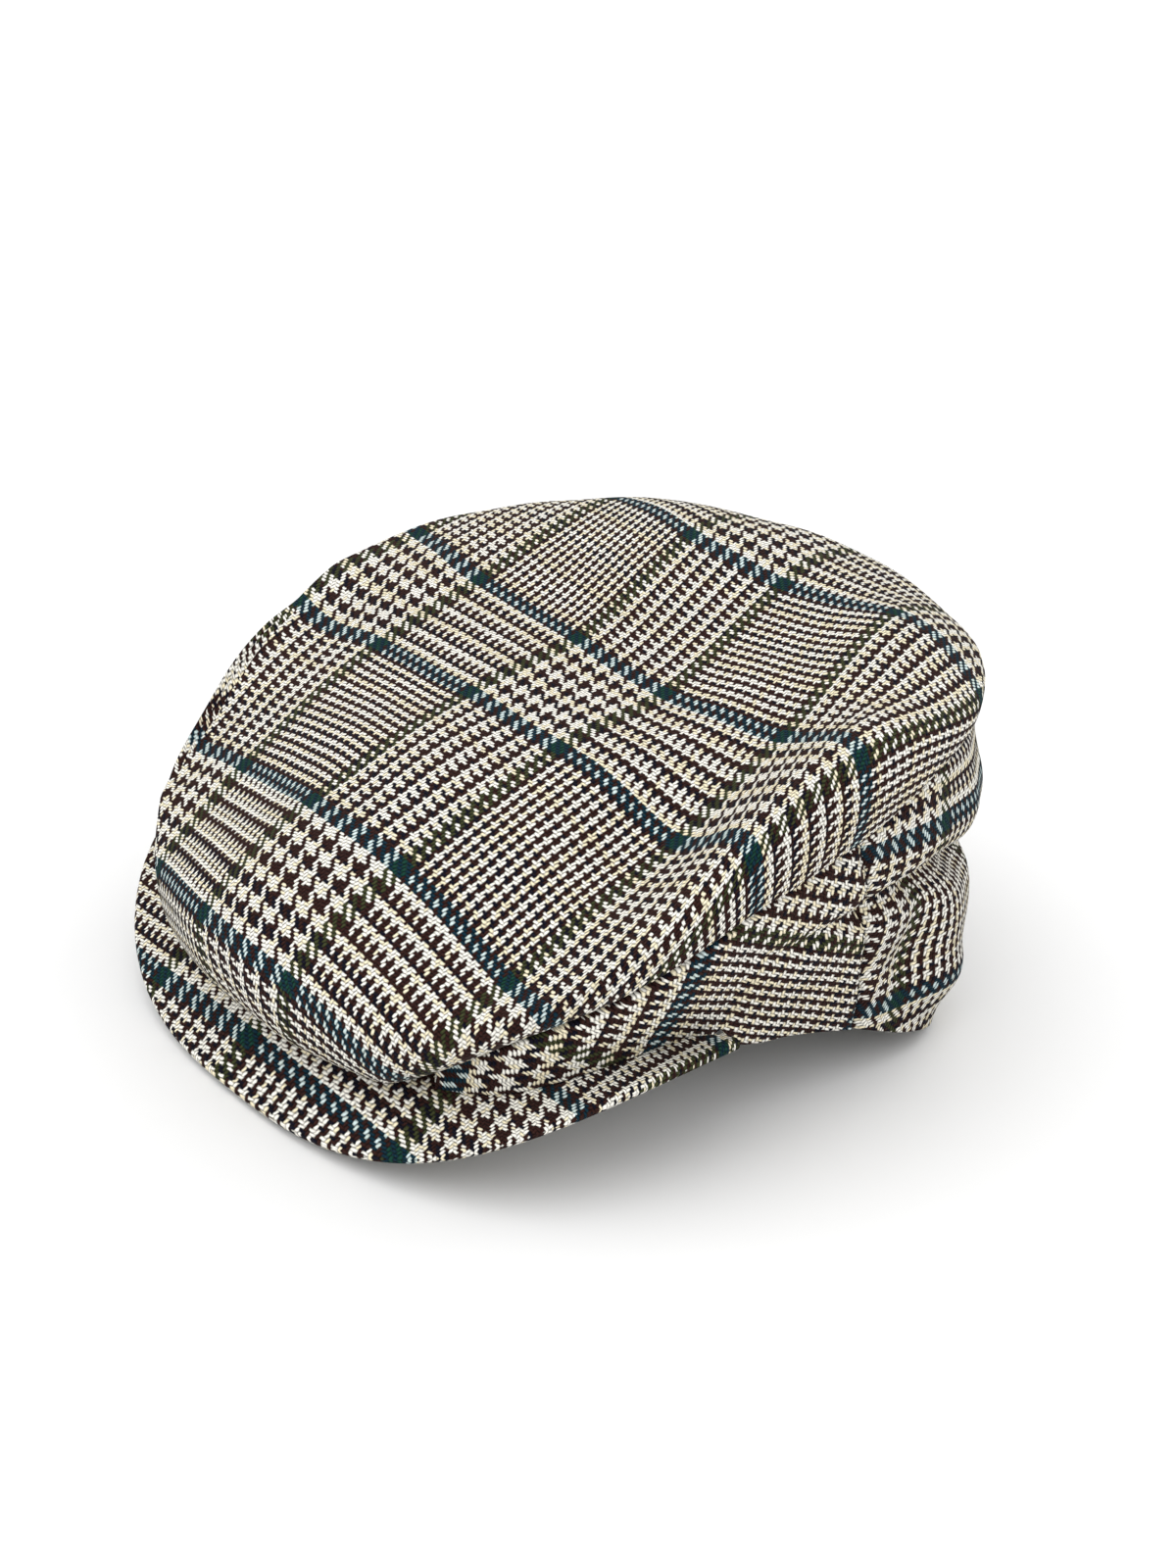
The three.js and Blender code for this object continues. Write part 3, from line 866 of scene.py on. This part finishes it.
# The threads: how far they wander, how they are shaded and how hairy they are
WANDER_SCALE = 0.75
WANDER = 0.9
CREAM_SHARE = 0.62
YELLOW_CAST = 0.75
BLUE_CAST = 0.75
FLOAT_LEAN = 0.45
GAP_LIGHT = 0.26
FLOAT_LIGHT = 0.86
FIBRE_SCALE = 2600.0
FIBRE_HEIGHT = 0.35
NAP_START = 0.45
NAP_STRENGTH = 0.16
SOIL_SCALE = 60.0
SOIL_STRENGTH = 0.16


def stripe_group(name, repeat, offset):
    """Which kind of yarn one thread is: masks for the line threads and the dark threads."""
    tree = bpy.data.node_groups.new(name, "ShaderNodeTree")
    tree.interface.new_socket("Thread", in_out="INPUT", socket_type="NodeSocketFloat")
    tree.interface.new_socket("Line", in_out="OUTPUT", socket_type="NodeSocketFloat")
    tree.interface.new_socket("Dark", in_out="OUTPUT", socket_type="NodeSocketFloat")
    g = Graph(tree)
    start = g.node("NodeGroupInput")
    end = g.node("NodeGroupOutput")
    place = g.math("FLOORED_MODULO", g.math("SUBTRACT", start.outputs[0], offset), repeat)
    coarse = g.math("LESS_THAN", place, COARSE_THREADS)
    four = g.math("FLOOR", g.math("DIVIDE", place, BROAD_STRIPE))
    odd_four = g.math("FLOORED_MODULO", four, 2.0)
    past_coarse = g.math("SUBTRACT", place, COARSE_THREADS)
    two = g.math("FLOOR", g.math("DIVIDE", past_coarse, NARROW_STRIPE))
    odd_two = g.math("FLOORED_MODULO", two, 2.0)
    # One line lies at either end of the coarse part and reaches a little past it
    from_line = g.math("FLOORED_MODULO", g.math("ADD", place, LINE_OVERHANG), repeat)
    first = g.math("LESS_THAN", from_line, LINE_THREADS)
    last_middle = COARSE_THREADS - BROAD_STRIPE + LINE_OVERHANG + LINE_THREADS / 2
    last = g.math("COMPARE", from_line, last_middle, LINE_THREADS / 2)
    line = g.math("MAXIMUM", first, last)
    dark_coarse = g.math("MULTIPLY", coarse, g.math("SUBTRACT", 1.0, odd_four))
    dark_fine = g.math("MULTIPLY", g.math("SUBTRACT", 1.0, coarse), odd_two)
    dark = g.math("MULTIPLY", g.math("MAXIMUM", dark_coarse, dark_fine),
                  g.math("SUBTRACT", 1.0, line))
    g.put(end.inputs[0], line)
    g.put(end.inputs[1], dark)
    return tree


def weave_group():
    """A two-and-two twill of two sets of coloured threads, with its relief and painted shade in
    the gaps between the floats.
    """
    across_stripes = stripe_group("olive_stripes", OLIVE_REPEAT, OLIVE_START)
    along_stripes = stripe_group("teal_stripes", TEAL_REPEAT, TEAL_START)
    tree = bpy.data.node_groups.new("glen_check_weave", "ShaderNodeTree")
    tree.interface.new_socket("Cloth", in_out="INPUT", socket_type="NodeSocketVector")
    tree.interface.new_socket("Place", in_out="INPUT", socket_type="NodeSocketVector")
    tree.interface.new_socket("Worn", in_out="INPUT", socket_type="NodeSocketFloat")
    tree.interface.new_socket("Colour", in_out="OUTPUT", socket_type="NodeSocketColor")
    tree.interface.new_socket("Height", in_out="OUTPUT", socket_type="NodeSocketFloat")
    g = Graph(tree)
    start = g.node("NodeGroupInput")
    end = g.node("NodeGroupOutput")
    scaled_cloth = g.node("ShaderNodeVectorMath", operation="SCALE")
    g.put(scaled_cloth.inputs[0], start.outputs[0])
    scaled_cloth.inputs["Scale"].default_value = THREADS_PER_UV
    u_raw, v_raw, _ = g.split(scaled_cloth.outputs[0])
    # Uneven spinning moves the threads a little
    jitter_vector = g.combine(u_raw, v_raw)
    wobble_u = g.math("SUBTRACT", g.noise(jitter_vector, WANDER_SCALE), 0.5)
    shifted = g.combine(g.math("ADD", v_raw, 37.0), g.math("ADD", u_raw, 91.0))
    wobble_v = g.math("SUBTRACT", g.noise(shifted, WANDER_SCALE), 0.5)
    u = g.math("ADD", u_raw, g.math("MULTIPLY", wobble_u, WANDER))
    v = g.math("ADD", v_raw, g.math("MULTIPLY", wobble_v, WANDER))
    i = g.math("FLOOR", u)
    j = g.math("FLOOR", v)
    fu = g.math("SUBTRACT", u, i)
    fv = g.math("SUBTRACT", v, j)
    step = g.math("FLOORED_MODULO", g.math("ADD", i, j), 4.0)
    across_up = g.math("LESS_THAN", step, 1.5)

    def yarn(stripes, thread, line_colour, dark_colours, seed):
        kind = g.node("ShaderNodeGroup", node_tree=stripes)
        g.put(kind.inputs[0], g.math("ADD", thread, 0.5))
        random = g.white(g.math("ADD", thread, seed))
        yellow = g.math("MULTIPLY", g.math("GREATER_THAN", random, CREAM_SHARE), YELLOW_CAST)
        cream = g.mix(yellow, CREAM, CREAM_YELLOW)
        shade = g.mix(g.math("GREATER_THAN", random, 0.5), dark_colours[0], dark_colours[1])
        plain = g.mix(kind.outputs[1], cream, shade)
        return g.mix(kind.outputs[0], plain, line_colour), kind.outputs[0], kind.outputs[1]

    across_colour, across_line, across_dark = yarn(
        across_stripes, i, OLIVE, dark_colours=(PLUM, PLUM), seed=11.0)
    along_colour, along_line, _ = yarn(
        along_stripes, j, TEAL, dark_colours=(NAVY_BLACK, PLUM), seed=53.0)
    # Cream threads that cross a teal line take a blue cast from its fibres
    cream_across = g.math("SUBTRACT", 1.0, g.math("MAXIMUM", across_line, across_dark))
    blue = g.math("MULTIPLY", g.math("MULTIPLY", cream_across, along_line), BLUE_CAST)
    across_colour = g.mix(blue, across_colour, PALE_BLUE)
    both = g.math("MULTIPLY", across_line, along_line)
    across_colour = g.mix(both, across_colour, GREEN)
    top = g.mix(across_up, along_colour, across_colour)
    # Relief: each float is a short rounded bar that dips at both ends
    long_across = g.math("DIVIDE", g.math("FLOORED_MODULO", g.math("ADD", i, v), 4.0), 2.0)
    long_along = g.math("DIVIDE", g.math("SUBTRACT", g.math(
        "FLOORED_MODULO", g.math("ADD", u, j), 4.0), 2.0), 2.0)

    def bar(width_share, length_share):
        length = g.math("MINIMUM", g.math("MAXIMUM", length_share, 0.0), 1.0)
        slide = g.math("MULTIPLY", g.math("SUBTRACT", length, 0.5), FLOAT_LEAN)
        offset = g.math("SUBTRACT", g.math("SUBTRACT", width_share, 0.5), slide)
        wide = g.math("COSINE", g.math("MULTIPLY", offset, math.pi))
        long = g.math("SINE", g.math("MULTIPLY", length, math.pi))
        return g.math("POWER", g.math("MAXIMUM", g.math("MULTIPLY", wide, long), 0.0), 0.5)

    height_across = bar(fu, long_across)
    height_along = bar(fv, long_along)
    picked = g.node("ShaderNodeMix", data_type="FLOAT")
    g.put(picked.inputs[0], across_up)
    g.put(picked.inputs[2], height_along)
    g.put(picked.inputs[3], height_across)
    relief = picked.outputs[0]
    # Fibres: short streaks of raised nap, lighter on the dark threads
    fibre = g.noise(start.outputs[1], FIBRE_SCALE, detail=3.0)
    soil = g.noise(start.outputs[1], SOIL_SCALE)
    nap = g.math("MULTIPLY", g.math("SUBTRACT", fibre, NAP_START), NAP_STRENGTH)
    nap = g.math("MINIMUM", g.math("MAXIMUM", nap, 0.0), 1.0)
    fuzzy = g.mix(nap, top, NAP)
    hairy = g.math("ADD", 0.25, g.math("MULTIPLY", fibre, 0.9))
    rubbed = g.math("MULTIPLY", start.outputs[2], hairy)
    fuzzy = g.mix(g.math("MINIMUM", rubbed, 1.0), fuzzy, WORN_GREY)
    # Painted shade: the colour is darkened where the relief is low, in the gaps between the
    # floats and at their dipping ends
    shadow = g.math("ADD", GAP_LIGHT, g.math("MULTIPLY", relief, FLOAT_LIGHT))
    soiled = g.math("ADD", 1 - SOIL_STRENGTH / 2, g.math("MULTIPLY", soil, SOIL_STRENGTH))
    shadow = g.math("MULTIPLY", shadow, soiled)
    darkened = g.node("ShaderNodeMix", data_type="RGBA", blend_type="MULTIPLY")
    darkened.inputs[0].default_value = 1.0
    g.put(darkened.inputs[6], fuzzy)
    g.put(darkened.inputs[7], g.combine(shadow, shadow, shadow))
    g.put(end.inputs[0], darkened.outputs[2])
    g.put(end.inputs[1], g.math("ADD", relief, g.math("MULTIPLY", fibre, FIBRE_HEIGHT)))
    return tree


WEAVE = weave_group()


def tweed(name):
    """Dull hairy wool: the woven colours and their relief on a rough shader."""
    material = bpy.data.materials.new(name)
    material.use_nodes = True
    tree = material.node_tree
    g = Graph(tree)
    shader = tree.nodes["Principled BSDF"]
    shader.inputs["Roughness"].default_value = 0.95
    shader.inputs["Specular IOR Level"].default_value = 0.05
    shader.inputs["Sheen Weight"].default_value = 0.02
    shader.inputs["Sheen Roughness"].default_value = 0.6
    cloth = g.node("ShaderNodeUVMap", uv_map="cloth")
    place = g.node("ShaderNodeTexCoord")
    weave = g.node("ShaderNodeGroup", node_tree=WEAVE)
    g.put(weave.inputs["Cloth"], cloth.outputs[0])
    g.put(weave.inputs["Place"], place.outputs["Object"])
    worn = g.node("ShaderNodeAttribute", attribute_name="worn")
    g.put(weave.inputs["Worn"], worn.outputs["Fac"])
    bump = g.node("ShaderNodeBump")
    bump.inputs["Strength"].default_value = 0.8
    bump.inputs["Distance"].default_value = 0.0004
    g.put(bump.inputs["Height"], weave.outputs["Height"])
    g.put(shader.inputs["Base Color"], weave.outputs["Colour"])
    g.put(shader.inputs["Normal"], bump.outputs[0])
    return material


CLOTH = tweed("tweed_cloth")
for obj, node, slot_name in ((crown_cloth, "crown_top", "tweed_top"),
                             (side_left, "side_left", "tweed_sides"),
                             (side_right, "side_right", "tweed_sides"),
                             (back, "back_panel", "tweed_back"),
                             (peak, "peak", "tweed_peak")):
    obj.data.materials.append(CLOTH)
    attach(obj, "root")
    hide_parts(node)


# Floor, light and camera

def plain_material(name, colour, roughness):
    material = bpy.data.materials.new(name)
    material.use_nodes = True
    shader = material.node_tree.nodes["Principled BSDF"]
    shader.inputs["Base Color"].default_value = colour
    shader.inputs["Roughness"].default_value = roughness
    return material


FLOOR_SIZE = 40.0
SKY_STRENGTH = 0.83
KEY_STRENGTH = 1.45
KEY_SPREAD = math.radians(70)
KEY_TURN = (math.radians(29), math.radians(-9), 0)
CAP_MIDDLE = (0, 0, 0.06)

bpy.ops.object.select_all(action="DESELECT")
bpy.ops.mesh.primitive_plane_add(size=FLOOR_SIZE, location=(0, 0, 0))
floor = bpy.context.object
floor.name = "floor"
floor.data.materials.append(plain_material("floor_paper", (0.86, 0.86, 0.86, 1), 0.9))

world = bpy.data.worlds.new("studio")
world.use_nodes = True
world.node_tree.nodes["Background"].inputs[0].default_value = (1, 1, 1, 1)
world.node_tree.nodes["Background"].inputs[1].default_value = SKY_STRENGTH
bpy.context.scene.world = world


def softbox(name, place, aim, size, power):
    """A square studio light that faces a place."""
    data = bpy.data.lights.new(name, "AREA")
    data.shape = "SQUARE"
    data.size = size
    data.energy = power
    lamp = bpy.data.objects.new(name, data)
    lamp.location = place
    direction = np.array(aim) - np.array(place)
    direction = direction / np.linalg.norm(direction)
    side = np.cross(direction, (0, 0, 1))
    side = side / np.linalg.norm(side)
    up = np.cross(side, direction)
    matrix = Matrix(((side[0], up[0], -direction[0]), (side[1], up[1], -direction[1]),
                     (side[2], up[2], -direction[2])))
    lamp.rotation_euler = matrix.to_euler()
    bpy.context.scene.collection.objects.link(lamp)


softbox("fill_light", place=(1.4, -0.3, 0.9), aim=CAP_MIDDLE, size=1.2, power=4)
softbox("rim_light", place=(0.2, 1.4, 1.2), aim=CAP_MIDDLE, size=1.0, power=4)

# The key light is one broad even sky light from high up in front
sky_data = bpy.data.lights.new("key_light", "SUN")
sky_data.energy = KEY_STRENGTH
sky_data.angle = KEY_SPREAD
sky_light = bpy.data.objects.new("key_light", sky_data)
sky_light.rotation_euler = KEY_TURN
bpy.context.scene.collection.objects.link(sky_light)

# Camera
camera_data = bpy.data.cameras.new("camera")
camera_data.sensor_fit = "AUTO"
camera_data.sensor_width = SENSOR
camera_data.lens = FOCAL_PIXELS / PHOTO_SIZE[1] * SENSOR
camera = bpy.data.objects.new("camera", camera_data)
camera.matrix_world = Matrix.Translation(CAMERA_PLACE) @ Matrix(CAMERA_AXES.tolist()).to_4x4()
bpy.context.scene.collection.objects.link(camera)
bpy.context.scene.camera = camera
bpy.context.scene.view_settings.view_transform = "Standard"
